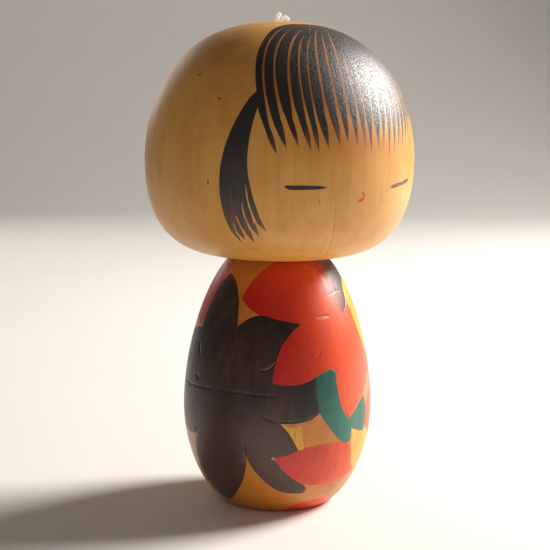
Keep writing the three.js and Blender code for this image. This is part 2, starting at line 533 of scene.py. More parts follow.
class Shader:
    """One material, and short ways to add and link its nodes. Patterns are laid in the doll's own
    millimetres, from the Object coordinates."""

    def __init__(self, name, roughness=0.45, coat=0.0, coat_roughness=0.2):
        self.material = bpy.data.materials.new(name)
        self.material.use_nodes = True
        self.tree = self.material.node_tree
        self.surface = self.tree.nodes["Principled BSDF"]
        self.surface.inputs["Roughness"].default_value = roughness
        self.surface.inputs["Coat Weight"].default_value = coat
        self.surface.inputs["Coat Roughness"].default_value = coat_roughness
        self.places = self.scaled(self.node("ShaderNodeTexCoord").outputs["Object"], (1 / MM,) * 3)

    def node(self, kind, **settings):
        made = self.tree.nodes.new(kind)
        for name, value in settings.items():
            setattr(made, name, value)
        return made

    def feed(self, socket, value):
        if isinstance(value, bpy.types.NodeSocket):
            self.tree.links.new(value, socket)
        else:
            socket.default_value = value

    def scaled(self, vector, scale):
        made = self.node("ShaderNodeVectorMath", operation="MULTIPLY")
        self.feed(made.inputs[0], vector)
        self.feed(made.inputs[1], scale)
        return made.outputs[0]

    def math(self, operation, a, b=0.0):
        made = self.node("ShaderNodeMath", operation=operation)
        self.feed(made.inputs[0], a)
        self.feed(made.inputs[1], b)
        return made.outputs[0]

    def plus(self, a, b):
        return self.math("ADD", a, b)

    def times(self, a, b):
        return self.math("MULTIPLY", a, b)

    def weighed(self, *parts):
        """The sum of (value, weight) pairs."""
        total = self.times(*parts[0])
        for part in parts[1:]:
            total = self.plus(total, self.times(*part))
        return total

    def noise(self, scale, detail=3.0, rough=0.55, twist=0.0, places=None):
        made = self.node("ShaderNodeTexNoise")
        self.feed(made.inputs["Vector"], self.scaled(places or self.places, scale))
        settings = {"Scale": 1.0, "Detail": detail, "Roughness": rough, "Distortion": twist}
        for name, value in settings.items():
            made.inputs[name].default_value = value
        return made.outputs["Fac"]

    def ranged(self, value, low, high, to_low=0.0, to_high=1.0):
        made = self.node("ShaderNodeMapRange", interpolation_type="SMOOTHSTEP")
        for socket, v in zip(made.inputs, (value, low, high, to_low, to_high)):
            self.feed(socket, v)
        return made.outputs[0]

    def mix(self, share, a, b, blend="MIX"):
        made = self.node("ShaderNodeMix", data_type="RGBA", blend_type=blend)
        self.feed(made.inputs[0], share)
        self.feed(made.inputs[6], a)
        self.feed(made.inputs[7], b)
        return made.outputs[2]

    def shade(self, share, colour, dark):
        """colour, and towards share 1 the same colour times dark."""
        return self.mix(share, colour, dark, "MULTIPLY")

    def split(self, vector=None):
        made = self.node("ShaderNodeSeparateXYZ")
        self.feed(made.inputs[0], vector or self.places)
        return made.outputs

    def bump(self, height, strength, distance):
        made = self.node("ShaderNodeBump")
        made.inputs["Strength"].default_value = strength
        made.inputs["Distance"].default_value = distance * MM
        self.feed(made.inputs["Height"], height)
        self.feed(self.surface.inputs["Normal"], made.outputs[0])

    def finish(self, colour, marks=None, smooth=0.0, rough=1.0):
        """The material in a colour. Its roughness follows marks, if they are given."""
        self.feed(self.surface.inputs["Base Color"], colour)
        if marks is not None:
            self.feed(self.surface.inputs["Roughness"], self.ranged(marks, 0.3, 0.7, smooth, rough))
        return self.material


def rgb(*colour):
    """A colour from 0 to 255 sRGB values, as linear RGBA."""
    parts = [value / 255 for value in colour]
    linear = [c / 12.92 if c <= 0.04045 else ((c + 0.055) / 1.055) ** 2.4 for c in parts]
    return (*linear, 1.0)


PITH = (9.0, 14.0)  # where the tree's heart passes the doll, sideways and backwards of its axis
# The heights and depths that tones fade between.
# Where the painted shade under the fringe fades in and out.
BROW_TOP, BROW_BOTTOM = 117.0, 107.0
BROW_FRONT, BROW_BACK = -41.0, -30.0
# Where the partings' paint stain and painted shade fade, full at the top and gone at the bottom.
STAIN_AND_SHADE_TOP, STAIN_AND_SHADE_BOTTOM = 131.0, 119.0
# Where the dark paint's painted shade fades out towards the foot.
FOOT_TOP, FOOT_BOTTOM = 44.0, 20.0


def wood_grain(shader, pale, deep, ring_gap=2.6, ring_share=0.16):
    """Colour and height of wood turned along its fibres: growth rings round a pith beside the axis,
    fine upright fibres, and a broad drift of tone."""
    x, y, _ = shader.split()
    sway = shader.noise((0.02, 0.02, 0.012), detail=2.0)
    dx = shader.math("SUBTRACT", x, PITH[0])
    dy = shader.math("SUBTRACT", y, PITH[1])
    distance = shader.math("SQRT", shader.plus(shader.times(dx, dx), shader.times(dy, dy)))
    waved = shader.plus(distance, shader.times(sway, 14.0))
    ring = shader.node("ShaderNodeTexNoise", noise_dimensions="1D")
    shader.feed(ring.inputs["W"], shader.math("DIVIDE", waved, ring_gap))
    ring.inputs["Scale"].default_value = 1.0
    ring.inputs["Detail"].default_value = 1.5
    rings = shader.ranged(ring.outputs["Fac"], 0.35, 0.68)
    fibres = shader.noise((1.9, 1.9, 0.045), detail=4.0, rough=0.65)
    streaks = shader.noise((0.32, 0.32, 0.016), detail=3.0, rough=0.5)
    drift = shader.noise((0.035, 0.035, 0.02), detail=1.0)
    tone = shader.weighed((rings, ring_share), (fibres, 0.34), (streaks, 0.34), (drift, 0.3))
    return shader.mix(shader.ranged(tone, 0.22, 0.86), pale, deep), fibres


def head_wood(name, coat, stain_and_shade=0.0):
    """Pale turned wood, with a faint reddish painted shade under the fringe. Between the strokes of hair,
    thin paint stains it and painted shade darkens it, both less towards the strokes' lower ends."""
    shader = Shader(name, coat=coat, coat_roughness=0.36)
    colour, fibres = wood_grain(shader, rgb(238, 181, 92), rgb(208, 141, 60), ring_share=0.08)
    _, y, z = shader.split()
    cloud = shader.noise((0.09, 0.09, 0.05), detail=2.0)
    blush = shader.noise((0.05, 0.05, 0.03), detail=2.0, twist=0.5)
    colour = shader.shade(shader.ranged(blush, 0.45, 0.8, 0.0, 0.5), colour, rgb(236, 206, 176))
    # Painted shade: a reddish darkening of the wood under the fringe.
    brow = shader.times(shader.ranged(z, BROW_BOTTOM, BROW_TOP), shader.ranged(y, BROW_BACK, BROW_FRONT))
    painted_brow_shade = shader.times(brow, shader.ranged(cloud, 0.3, 0.7, 0.35, 0.85))
    colour = shader.shade(painted_brow_shade, colour, rgb(226, 186, 158))
    # Paint stain and painted shade: the partings darken towards the crown.
    if stain_and_shade:
        upper = shader.times(shader.ranged(z, STAIN_AND_SHADE_BOTTOM, STAIN_AND_SHADE_TOP), stain_and_shade)
        colour = shader.shade(upper, colour, rgb(198, 150, 102))
    shader.bump(fibres, 0.1, 0.05)
    return shader.finish(colour, cloud, 0.44, 0.56)


def plain_wood(name, pale, deep, roughness=0.42, coat=0.5, ring_share=0.09, bump=(0.15, 0.05)):
    shader = Shader(name, roughness, coat, coat_roughness=0.28)
    colour, fibres = wood_grain(shader, pale, deep, ring_share=ring_share)
    shader.bump(fibres, *bump)
    return shader.finish(colour)


def hair_paint():
    """Thin black paint laid with a brush. It follows the strokes, and wood shows where it is thin. Fine
    grit in it breaks up its gloss."""
    shader = Shader("hair_paint")
    shader.surface.inputs["Specular IOR Level"].default_value = 0.9
    wood, _ = wood_grain(shader, rgb(150, 92, 44), rgb(104, 60, 30))
    stroke = shader.node("ShaderNodeAttribute", attribute_name="stroke").outputs["Vector"]
    bristles = shader.noise((2.6, 0.05, 1.0), detail=4.0, rough=0.62, places=stroke)
    grit = shader.noise((1.5, 1.5, 1.5), detail=3.0, rough=0.75)
    load = shader.split(stroke)[2]
    thin = shader.ranged(shader.plus(bristles, load), 0.58, 0.98)
    tone = shader.mix(bristles, rgb(18, 13, 10), rgb(42, 33, 27))
    colour = shader.mix(shader.times(thin, 0.85), tone, wood)
    shader.bump(shader.plus(shader.times(bristles, 0.4), grit), 0.75, 0.19)
    shader.feed(shader.surface.inputs["Roughness"], shader.ranged(grit, 0.34, 0.66, 0.33, 0.62))
    return shader.finish(colour)


def brushwork(shader, drift_scale, marks_scale):
    """A broad drift of tone, the marks of a brush, and the fine grain of the wood under the paint."""
    drift = shader.noise(drift_scale, detail=2.0, twist=0.6)
    marks = shader.noise(marks_scale, detail=4.0, rough=0.6, twist=0.4)
    grain = shader.noise((2.2, 2.2, 0.05), detail=3.0, rough=0.6)
    return drift, marks, grain


def brushed_paint(name, deep, pale, thin=0.15, coat=0.4, foot=0.0):
    """Opaque paint over wood. It pales towards the foot by a share, which is painted shade: darker high up
    under the head, paler low down.
    """
    shader = Shader(name, coat=coat, coat_roughness=0.34)
    drift, marks, grain = brushwork(shader, (0.07, 0.07, 0.05), (0.9, 0.9, 0.16))
    tone = shader.weighed((drift, 0.65), (marks, 0.35))
    # Painted shade: darker high up under the head, paler towards the foot.
    low = shader.ranged(shader.split()[2], FOOT_TOP, FOOT_BOTTOM, -foot, foot)
    colour = shader.mix(shader.ranged(shader.plus(tone, low), 0.32, 0.68), deep, pale)
    streak = shader.times(shader.ranged(grain, 0.5, 0.75), thin)
    colour = shader.shade(streak, colour, rgb(120, 86, 66))
    shader.bump(shader.plus(marks, shader.times(grain, 0.5)), 0.18, 0.06)
    return shader.finish(colour, marks, 0.36, 0.5)


def red_colour(shader):
    """Crimson on the doll's right, warming to orange-red on its left. The warming is partly the paint's own
    tones and partly painted light, brighter on the lit side.
    """
    drift, marks, grain = brushwork(shader, (0.06, 0.06, 0.05), (0.5, 0.5, 0.12))
    # Partly painted light: warmer and brighter towards +X, where the key light falls.
    warm = shader.plus(shader.split()[0], shader.times(drift, 16.0))
    colour = shader.mix(shader.ranged(warm, -14.0, 15.0), rgb(198, 7, 7), rgb(236, 80, 16))
    colour = shader.shade(shader.ranged(marks, 0.42, 0.75, 0.0, 0.6), colour, rgb(224, 204, 204))
    streak = shader.times(shader.ranged(grain, 0.55, 0.8), 0.12)
    shader.bump(shader.plus(marks, shader.times(grain, 0.4)), 0.12, 0.05)
    return shader.shade(streak, colour, rgb(150, 110, 90)), marks


def red_paint():
    shader = Shader("red_paint", coat=0.36, coat_roughness=0.34)
    colour, marks = red_colour(shader)
    return shader.finish(colour, marks, 0.38, 0.5)


def dark_glaze():
    """Dark paint laid thinly over the red, which shows through it at the edge on the doll's right."""
    shader = Shader("dark_glaze", coat=0.3, coat_roughness=0.42)
    red, marks = red_colour(shader)
    x, y, _ = shader.split()
    angle = shader.math("DEGREES", shader.math("ARCTAN2", x, shader.times(y, -1.0)))
    edge = shader.plus(angle, shader.times(marks, 16.0))
    dark = shader.mix(marks, rgb(36, 22, 18), rgb(78, 48, 40))
    colour = shader.mix(shader.ranged(edge, 12.0, 38.0, 0.25, 1.0), red, dark)
    return shader.finish(colour, marks, 0.44, 0.56)


def ink(name, dark, pale):
    """A fine brush line's paint."""
    shader = Shader(name, coat=0.1, coat_roughness=0.4)
    marks = shader.noise((0.35, 0.35, 3.2), detail=3.0)
    colour = shader.mix(shader.ranged(marks, 0.35, 0.68), dark, pale)
    return shader.finish(colour, marks, 0.5, 0.62)


def cotton():
    """Woolly white cotton. Its faint glow is painted light that brightens the cord's shaded side, standing
    for the light that real loose yarn lets through.
    """
    shader = Shader("white_cotton", roughness=0.9)
    fluff = shader.noise((6.0, 6.0, 6.0), detail=4.0)
    shader.surface.inputs["Sheen Weight"].default_value = 0.5
    # Painted light: a faint white emission, though the cord is no lamp.
    shader.surface.inputs["Emission Color"].default_value = rgb(255, 252, 246)
    shader.surface.inputs["Emission Strength"].default_value = 0.35
    shader.bump(fluff, 0.3, 0.04)
    return shader.finish(shader.mix(fluff, rgb(238, 234, 226), rgb(252, 250, 246)))


# ---- The head's paint ----

head_paint = Paint(HEAD)

# The fringe, in millimetres over the head from its crown: sideways, and towards the face.
FRINGE_TOP = (1.0, 12.2)
FRINGE_EDGE = [(-6.0, 11.9), (-12.0, 13.6), (-18.3, 17.4), (-24.2, 21.8), (-29.5, 27.7), (-32.3, 31.9),
               (-35.2, 36.2), (-36.9, 42.5), (-37.8, 47.4)]
# Each painted stroke's tip, from the doll's right to its left.
TIPS = [(-37.3, 51.3), (-33.1, 52.2), (-28.6, 54.4), (-24.2, 57.8), (-21.0, 59.3), (-16.5, 59.6),
        (-11.2, 60.1), (-7.3, 59.9), (-2.8, 60.9), (1.4, 62.2), (4.6, 63.4), (9.1, 62.0), (12.4, 61.2),
        (16.5, 63.4), (20.6, 63.2), (23.8, 60.2), (27.2, 58.6), (30.6, 56.6), (33.7, 54.4), (37.2, 50.6)]
# The bare line between each stroke and the next: its upper end, its lower end, and its width.
GAPS = [((-7.9, 14.0), (-34.2, 43.2), 1.0), ((-8.9, 17.4), (-29.4, 43.2), 1.1),
        ((-5.1, 18.3), (-25.6, 46.6), 1.2), ((-6.7, 21.8), (-21.7, 49.6), 0.85),
        ((-4.8, 22.6), (-18.4, 50.4), 0.65), ((-0.1, 18.9), (-13.8, 49.4), 0.95),
        ((-0.1, 21.8), (-9.2, 51.0), 0.95), ((3.8, 19.1), (-5.0, 51.8), 0.9),
        ((1.9, 30.0), (-0.9, 52.6), 0.7), ((4.8, 33.0), (2.6, 53.4), 0.5), ((7.1, 43.0), (6.4, 54.2), 0.6),
        ((10.6, 41.0), (10.8, 53.4), 0.6), ((14.0, 44.0), (14.2, 52.4), 0.7),
        ((17.0, 41.0), (18.0, 51.6), 0.7), ((20.4, 40.0), (21.7, 50.0), 0.7),
        ((23.0, 37.0), (25.2, 48.0), 0.7), ((25.8, 36.0), (28.6, 46.6), 0.7),
        ((28.2, 34.0), (31.6, 44.0), 0.7), ((30.0, 32.0), (34.2, 41.0), 0.7)]
FAN_MIDDLE = 13.0  # sideways place where the strokes run straight
FAN_REACH = 44.0  # from there to where the strokes bow the most
FAN_BOW = 0.115  # how far the outermost strokes bow, as a share of their length
# How far a tip's sides bulge, as a share of their length, by its sideways place. Less than 0 is hollow.
STROKE_BULGE = ((-10.0, 0.045), (5.0, -0.022))
FLARE = 0.9  # how much wider a gap grows where it opens, as a share of its width


def gap_line(start, end):
    """The middle of a gap. Strokes bow away from the fan's middle, more so towards the temples."""
    start, end = np.array(start), np.array(end)
    bow = FAN_BOW * max(-0.3, min(1.0, (FAN_MIDDLE - end[0]) / FAN_REACH))
    middle = (start + end) / 2 + 2 * bow * quarter_turn(end - start)
    t = shares(60)
    return (1 - t) ** 2 * start + 2 * t * (1 - t) * middle + t * t * end


def sliver(line, width, phase):
    """A slit along a line on a plane: pointed at its upper end, widening, and open at its lower end."""
    along = unit(np.gradient(line, axis=0))
    across = quarter_turn(along)
    t = shares(len(line))
    wobble = 0.1 * np.sin(t * 17.0 + phase * 2.1) + 0.06 * np.sin(t * 41.0 + phase)
    opening = 0.6 * ramp(t, 0.0, 0.25) ** 0.7 + 0.2 * t * t + FLARE * t ** 9
    half = width / 2 * opening * (1 + wobble)
    past = line[-1:] + along[-1:] * 0.3
    return np.vstack([(line + across * half)[1:], past, (line - across * half)[:0:-1], line[:1]])


def comb(edge, tips, notches, back, bulge):
    """Runs for a patch that ends in pointed strokes: down edge to the first tip, up to each notch and
    down to the next tip, then along back to where it began."""
    def side(start, end, share):
        start, end = np.array(start), np.array(end)
        return [tuple((start + end) / 2 + quarter_turn(end - start) * share), tuple(end)]

    runs = [[*edge, tips[0]]]
    for i, (left, right) in enumerate(notches):
        runs.append(side(tips[i], left, bulge(tips[i])))
        if left != right:
            runs.append([right])
        runs.append(side(right, tips[i + 1], bulge(tips[i + 1])))
    return runs + [back]


def fringe_outline():
    notches = []
    for _, (x, y), width in GAPS:
        half = width * (0.4 + FLARE / 2)
        notches.append(((x - half, y), (x + half, y)))

    def bulge(tip):
        return np.interp(tip[0], *zip(*STROKE_BULGE))

    other_edge = [(-x, y) for x, y in FRINGE_EDGE[1:-1]][::-1]
    back = [*other_edge, (8.0, 11.6), FRINGE_TOP]
    return outline(crown_curve, *comb(FRINGE_EDGE, TIPS, notches, back, bulge))


# The lock of hair in front of the ear, on the doll's right: (angle, height) points.
LOCK_EDGE = [(-39.0, 134.0), (-45.4, 129.3), (-48.5, 127.0), (-54.5, 119.0), (-58.4, 109.5), (-59.3, 102.0),
             (-58.2, 94.0), (-56.4, 89.8)]
LOCK_TIPS = [(-52.3, 85.6), (-50.6, 86.9), (-46.2, 85.9), (-43.6, 88.0), (-40.0, 89.2)]
LOCK_NOTCHES = [(-53.6, 89.0), (-50.6, 89.6), (-47.4, 90.6), (-45.1, 92.6)]
LOCK_BACK = [(-43.0, 94.0), (-45.9, 101.0), (-47.5, 107.5), (-47.4, 113.5), (-45.9, 120.5), (-44.4, 124.6)]
LOCK_SLITS = [([(-54.6, 92.2), (-54.2, 90.4), (-53.5, 88.6)], 0.45),
              ([(-53.0, 94.4), (-52.0, 91.8), (-50.5, 89.2)], 0.6),
              ([(-50.4, 98.0), (-49.3, 94.3), (-47.3, 90.2)], 0.6),
              ([(-48.4, 103.5), (-47.5, 98.3), (-45.0, 92.2)], 0.65)]


def lock_outlines(side):
    """The lock and its slits, on the doll's right for side 1 and on its left for side -1."""
    def sided(points):
        return [(angle * side, z) for angle, z in points]

    notches = [(notch, notch) for notch in LOCK_NOTCHES]
    runs = comb(LOCK_EDGE, LOCK_TIPS, notches, LOCK_BACK, lambda tip: 0.0)
    lock = outline(on_head, *[sided(run) for run in [*runs, [(-38.0, 126.0)], LOCK_EDGE[:1]]])
    slits = []
    for points, width in LOCK_SLITS:
        line = on_head(sided(points))
        degree = math.pi / 180 * np.interp(line[:, 1].mean(), HEAD.s, HEAD.radius)
        slits.append(sliver(line * (degree, 1.0), width, points[0][0]) / (degree, 1.0))
    return lock, slits


EYE_RUNS = [[(-25.0, 103.1), (-18.0, 102.85), (-16.0, 102.35)],
            [(-19.0, 102.0), (-25.0, 101.85), (-31.6, 101.95), (-33.1, 102.55)], [(-32.6, 103.15)]]
OTHER_EYE_RUNS = [[(18.5, 102.3), (26.0, 102.85), (32.6, 103.55), (33.6, 103.1)],
                  [(32.0, 102.4), (25.0, 101.75), (18.5, 101.2)], [(16.2, 101.6)]]
MOUTH_RUNS = [[(0.3, 100.9), (1.4, 100.2), (1.6, 98.9), (0.4, 97.9), (-1.1, 98.0), (-1.9, 98.7)],
              [(-0.7, 98.75), (0.5, 99.2), (0.6, 100.1), (-0.2, 100.7)]]
# Each fleck's angle, height, half width and half height.
FLECKS = [(-77.5, 133.7, 0.55, 0.35), (-62.0, 127.0, 0.5, 0.35), (-64.3, 103.5, 0.24, 0.85),
          (-19.0, 98.5, 0.25, 0.25), (96.0, 118.0, 0.4, 0.3), (151.0, 104.0, 0.3, 0.5),
          (-141.0, 126.0, 0.45, 0.3)]
CHECK_LINE = [(-12.3, 101.5), (-11.8, 94.0), (-10.6, 86.0), (-7.6, 80.2)]  # a fine drying crack


def spot(turning, angle, height, half_width, half_height, count=14):
    """A small rounded outline on a turning's side."""
    s = turning.arc(height)
    radius = np.interp(s, turning.s, turning.radius)
    turn = np.arange(count) * 2 * math.pi / count
    wide = np.degrees(half_width * np.cos(turn) / radius)
    return np.stack([angle + wide, s + half_height * np.sin(turn)], 1)


def paint_head():
    for side in (1, -1):
        lock, slits = lock_outlines(side)
        head_paint.add("hair", lock)
        for slit in slits:
            head_paint.add("parting", slit)
    head_paint.add("hair", fringe_outline())
    for start, end, width in GAPS:
        head_paint.add("parting", from_crown(sliver(gap_line(start, end), width, end[0])))
    head_paint.add("eye", outline(on_head, *EYE_RUNS))
    head_paint.add("dry_eye", outline(on_head, *OTHER_EYE_RUNS))
    head_paint.add("mouth", outline(on_head, *MOUTH_RUNS))
    for fleck in FLECKS:
        head_paint.add("fleck", spot(HEAD, *fleck))
    head_paint.cut(on_head(CHECK_LINE), 0.12, 0.06)


LOCK_ANGLE, LOCK_START, LOCK_THINNING = 43.0, 46.0, 70.0  # the lock's near edge, and its arc lengths
FAN_TOP, FAN_BOTTOM = 14.0, 64.0


def hair_strokes(angle, s):
    """Where each point lies across and along the brush strokes, and how thin the paint is there."""
    out = s + CORD_HOLE_RADIUS
    a = np.radians(angle)
    x, y = out * np.sin(a), out * np.cos(a)
    lines = [gap_line((start[0] * 0.5 + 2.0, FAN_TOP), end) for start, end, _ in GAPS]
    heights = np.clip(y, FAN_TOP, FAN_BOTTOM)
    spots = np.stack([np.interp(heights, line[:, 1], line[:, 0]) for line in lines])
    across = np.array([np.interp(x[i], spots[:, i], np.arange(len(GAPS))) for i in range(len(x))])
    outside = np.where(x < spots[0], x - spots[0], np.where(x > spots[-1], x - spots[-1], 0.0)) / 3.0
    lock = (np.abs(angle) > LOCK_ANGLE) & (s > LOCK_START)
    across = np.where(lock, np.abs(angle) * 0.5, across + outside)
    bottom = np.interp(x, *np.transpose(TIPS))
    # The paint is thin at the strokes' tips, on the doll's left, near the crown and at the lock's foot.
    thin = 0.48 * ramp(y, bottom - 10.0, bottom) ** 1.5
    thin += 0.18 * ramp(x, 4.0, 34.0) + 0.16 * ramp(out, 26.0, 14.0)
    lock_thin = 0.3 * ramp(s, LOCK_THINNING, LOCK_THINNING + 14.0)
    return np.stack([across, out, np.where(lock, lock_thin, thin) + 0.02], 1)


# ---- The body's paint ----

body_paint = Paint(BODY)
OVER_SEAM, UNDER_BASE = 79.2, -1.0

# Every patch is a list of runs of (angle, height) points that meet at corners, from the ground up.
RED_FLOWER = [
    # the top petal, pointing right round to the doll's right side
    [[(-60.5, 71.4), (-56, 73.8), (-49, 76), (-41, 77.5), (-34, OVER_SEAM)],
     [(-10, OVER_SEAM), (20, OVER_SEAM)], [(34, 70), (30, 62)],
     [(18, 62), (5, 62), (-7, 61.9), (-20, 60.0), (-30, 60.6), (-40, 61.7), (-48, 62.7), (-57, 64.6),
      (-65.5, 67.3)]],
    # the middle petal and the one that points down, side by side
    [[(-20, 60.4), (-27, 57.9), (-32.6, 54.6), (-36.3, 49.8), (-38.3, 44.1)],
     [(-38, 42.9), (-30, 42.2), (-20, 42.4), (-9, 42.5)],
     [(0, 42), (3, 38), (6, 33.4), (12.3, 29.6)],
     [(17, 32.9), (22, 35), (28, 37), (40, 42), (62, 46)],
     [(60, 54), (50, 53.5), (42, 54.4), (36, 56.6), (28, 59.4), (20, 62.2), (5, 63), (-10, 62), (-20, 60.4)]],
    # hidden from the front: four more petals round the same middle
    [[(34, 34), (31.6, 29.5), (34, 24.5), (41, 19), (52, 13.2)], [(60, 17), (66, 24), (68, 33), (62, 46)],
     [(48, 42), (34, 34)]],
    [[(66, 36), (74, 27), (86, 20.5), (104, 17.6)],
     [(103, 26), (96, 34.5), (84, 41.5), (62, 46)], [(66, 36)]],
    [[(72, 40), (86, 39.5), (102, 42), (121, 49.5)], [(108, 55), (94, 57), (78, 54.5), (62, 46)], [(72, 40)]],
    [[(74, 52.5), (90, 57.5), (101, 64), (112, 74.5)],
     [(94, 74), (79, 70), (68, 62), (60, 48)], [(74, 52.5)]],
    [[(60, 54), (67, 61), (72, 69), (74, OVER_SEAM)], [(58, OVER_SEAM)],
     [(51, 70), (50, 62), (56, 50)], [(60, 54)]],
    # the low petal on its own, and the one that runs round the foot
    [[(-31, 22.2), (-24, 23.2), (-18, 23.6), (-10, 24), (-2, 24.1), (8, 23.7), (15.5, 22)],
     [(18.4, 19), (21.5, 15.5), (28, 12)],
     [(20, 11), (12, 10.3), (2, 10.2), (-8, 10.4), (-15.5, 10.9), (-22, 12.4), (-29, 15.2), (-35.5, 19)],
     [(-36, 21)]],
    [[(-20, 3.3), (-8, 4.4), (6, 4.6), (20, 3.6), (36, UNDER_BASE)], [(0, UNDER_BASE), (-34, UNDER_BASE)],
     [(-20, 3.3)]],
    # a petal behind the dark flower, on the doll's right
    [[(-158, 63.5), (-140, 70), (-122, 74.5), (-108, OVER_SEAM)], [(-92, OVER_SEAM)],
     [(-96, 62), (-104, 57.5)], [(-122, 59), (-140, 60.5), (-158, 63.5)]],
]
DARK_FLOWER = [
    [[(-92, 30), (-99, 44), (-100.5, 56), (-98.8, 64), (-96, 69.5), (-88, 73.8)],
     [(-78, 72.3), (-71, 69.5), (-66.4, 65.5), (-64, 59.2)], [(-55, 45), (-60, 30), (-92, 30)]],
    [[(-64, 59.2), (-56, 61.7), (-47, 62.8), (-35, 61.6), (-19, 60.3)],
     [(-26, 57.8), (-32, 54.3), (-35.9, 49.8), (-38, 44)], [(-37, 38), (-60, 34), (-80, 44), (-64, 59.2)]],
    [[(-42, 43.6), (-30, 42.7), (-20, 43), (-11.4, 44.6)], [(-10.6, 40), (-9.4, 34.1)],
     [(-13, 32.7), (-20, 31.5), (-30, 31.2), (-40, 31.6)], [(-60, 32), (-60, 42), (-42, 43.6)]],
    [[(-34, 31.6), (-29, 28.8), (-25.4, 25.8), (-22.3, 22.7)], [(-28, 21.4), (-36, 20.4)],
     [(-48, 19), (-58, 26)], [(-60, 37), (-34, 31.6)]],
    [[(-60, 36), (-44, 30), (-37.6, 20.8)], [(-33, 17.4), (-28, 14.7), (-21, 12.1), (-16, 10.7), (-13.4, 9)],
     [(-15.6, 7.8), (-22, 7.9), (-30, 8.4), (-38, 10.2), (-46, 13.9), (-51.5, 17.6), (-54.4, 21.6)],
     [(-58, 26), (-60, 36)]],
    [[(-56, 28), (-54.2, 22), (-54.2, 18), (-56, 14.5), (-59.5, 11), (-65, 7.8), (-73, 4.6), (-83, 2.2)],
     [(-92, 5), (-98, 12), (-97, 19), (-92, 25)], [(-90, 32), (-75, 40), (-60, 38), (-56, 28)]],
    [[(-88, 58), (-100, 57), (-115, 55.5), (-132, 51), (-150, 41.5)], [(-140, 32), (-125, 26.5), (-108, 24),
     (-94, 24.2)], [(-80, 30), (-78, 50), (-88, 58)]],
]
# A petal of another flower under the head, painted so thinly that red shows through it.
GLAZE = [
    [[(-2, 76.7), (7, 75.2), (12, 72.8), (13.2, 69.4), (15, 65.2), (20, 61.9)],
     [(27, 63.4), (32, 66.2), (35.5, 68.8), (42, 70.6), (50, 72.2), (58, 74.5)],
     [(60, OVER_SEAM)], [(20, OVER_SEAM)], [(-14, 78.4)], [(-2, 76.7)]],
]
YELLOW_PATCHES = [
    [[(13, 27.8), (15.4, 24.8), (17, 22), (18.6, 18.8), (22, 15.4), (30, 12.6)], [(44, 13), (54, 18)],
     [(40, 24), (28, 26.4), (20, 28), (13, 27.8)]],
    [[(31.5, 70.4), (32.6, 65), (34.6, 60), (38, 54.5), (44, 49.5)], [(60, 48)],
     [(58, 54), (55, 62), (51, 68), (45, 71.5), (31.5, 70.4)]],
    [[(-33, 31.5), (-27, 30), (-20.4, 30.6)], [(-20, 26.5), (-18.6, 23)], [(-25, 23), (-33, 31.5)]],
    [[(150, 58), (164, 60), (176, 66)], [(170, 71), (158, 70.5), (150, 58)]],
]
TAN_PATCHES = [
    [[(20, 61.9), (28, 58.6), (36, 56)], [(40, 58)], [(33, 69.8)], [(27, 66), (20, 61.9)]],
    [[(20.5, 14.2), (24, 13.7), (29.5, 13.2)], [(27, 11.6), (22, 11.8), (20.5, 14.2)]],
]
GREEN_LEAVES = [
    [[(-11.5, 44.8), (-5, 46), (0.4, 46.4), (3, 45.4)], [(3.1, 42), (4.3, 38), (6.9, 33.9), (12.4, 30.5)],
     [(15.2, 27), (14.4, 23.1)],
     [(10, 23.1), (5, 24.6), (0, 27.1), (-5, 30.3), (-9.5, 33.9), (-10.8, 38), (-11.5, 44.8)]],
    [[(12.4, 30.5), (17, 32.3), (22, 34.2), (29, 36.6)], [(32.4, 32.5), (32, 28), (30.4, 24.9)],
     [(22, 26), (13.6, 28), (12.4, 30.5)]],
    [[(121, 16), (133, 27.5), (151, 35), (176, 38.5)], [(166, 27), (150, 18.5), (121, 16)]],
    [[(112, 62), (124, 61.4), (138, 56), (148, 47)], [(134, 47.5), (121, 52.5), (112, 62)]],
    [[(-172, 20), (-158, 25), (-142, 24.4), (-124, 17.5)], [(-142, 13.5), (-158, 14), (-172, 20)]],
]
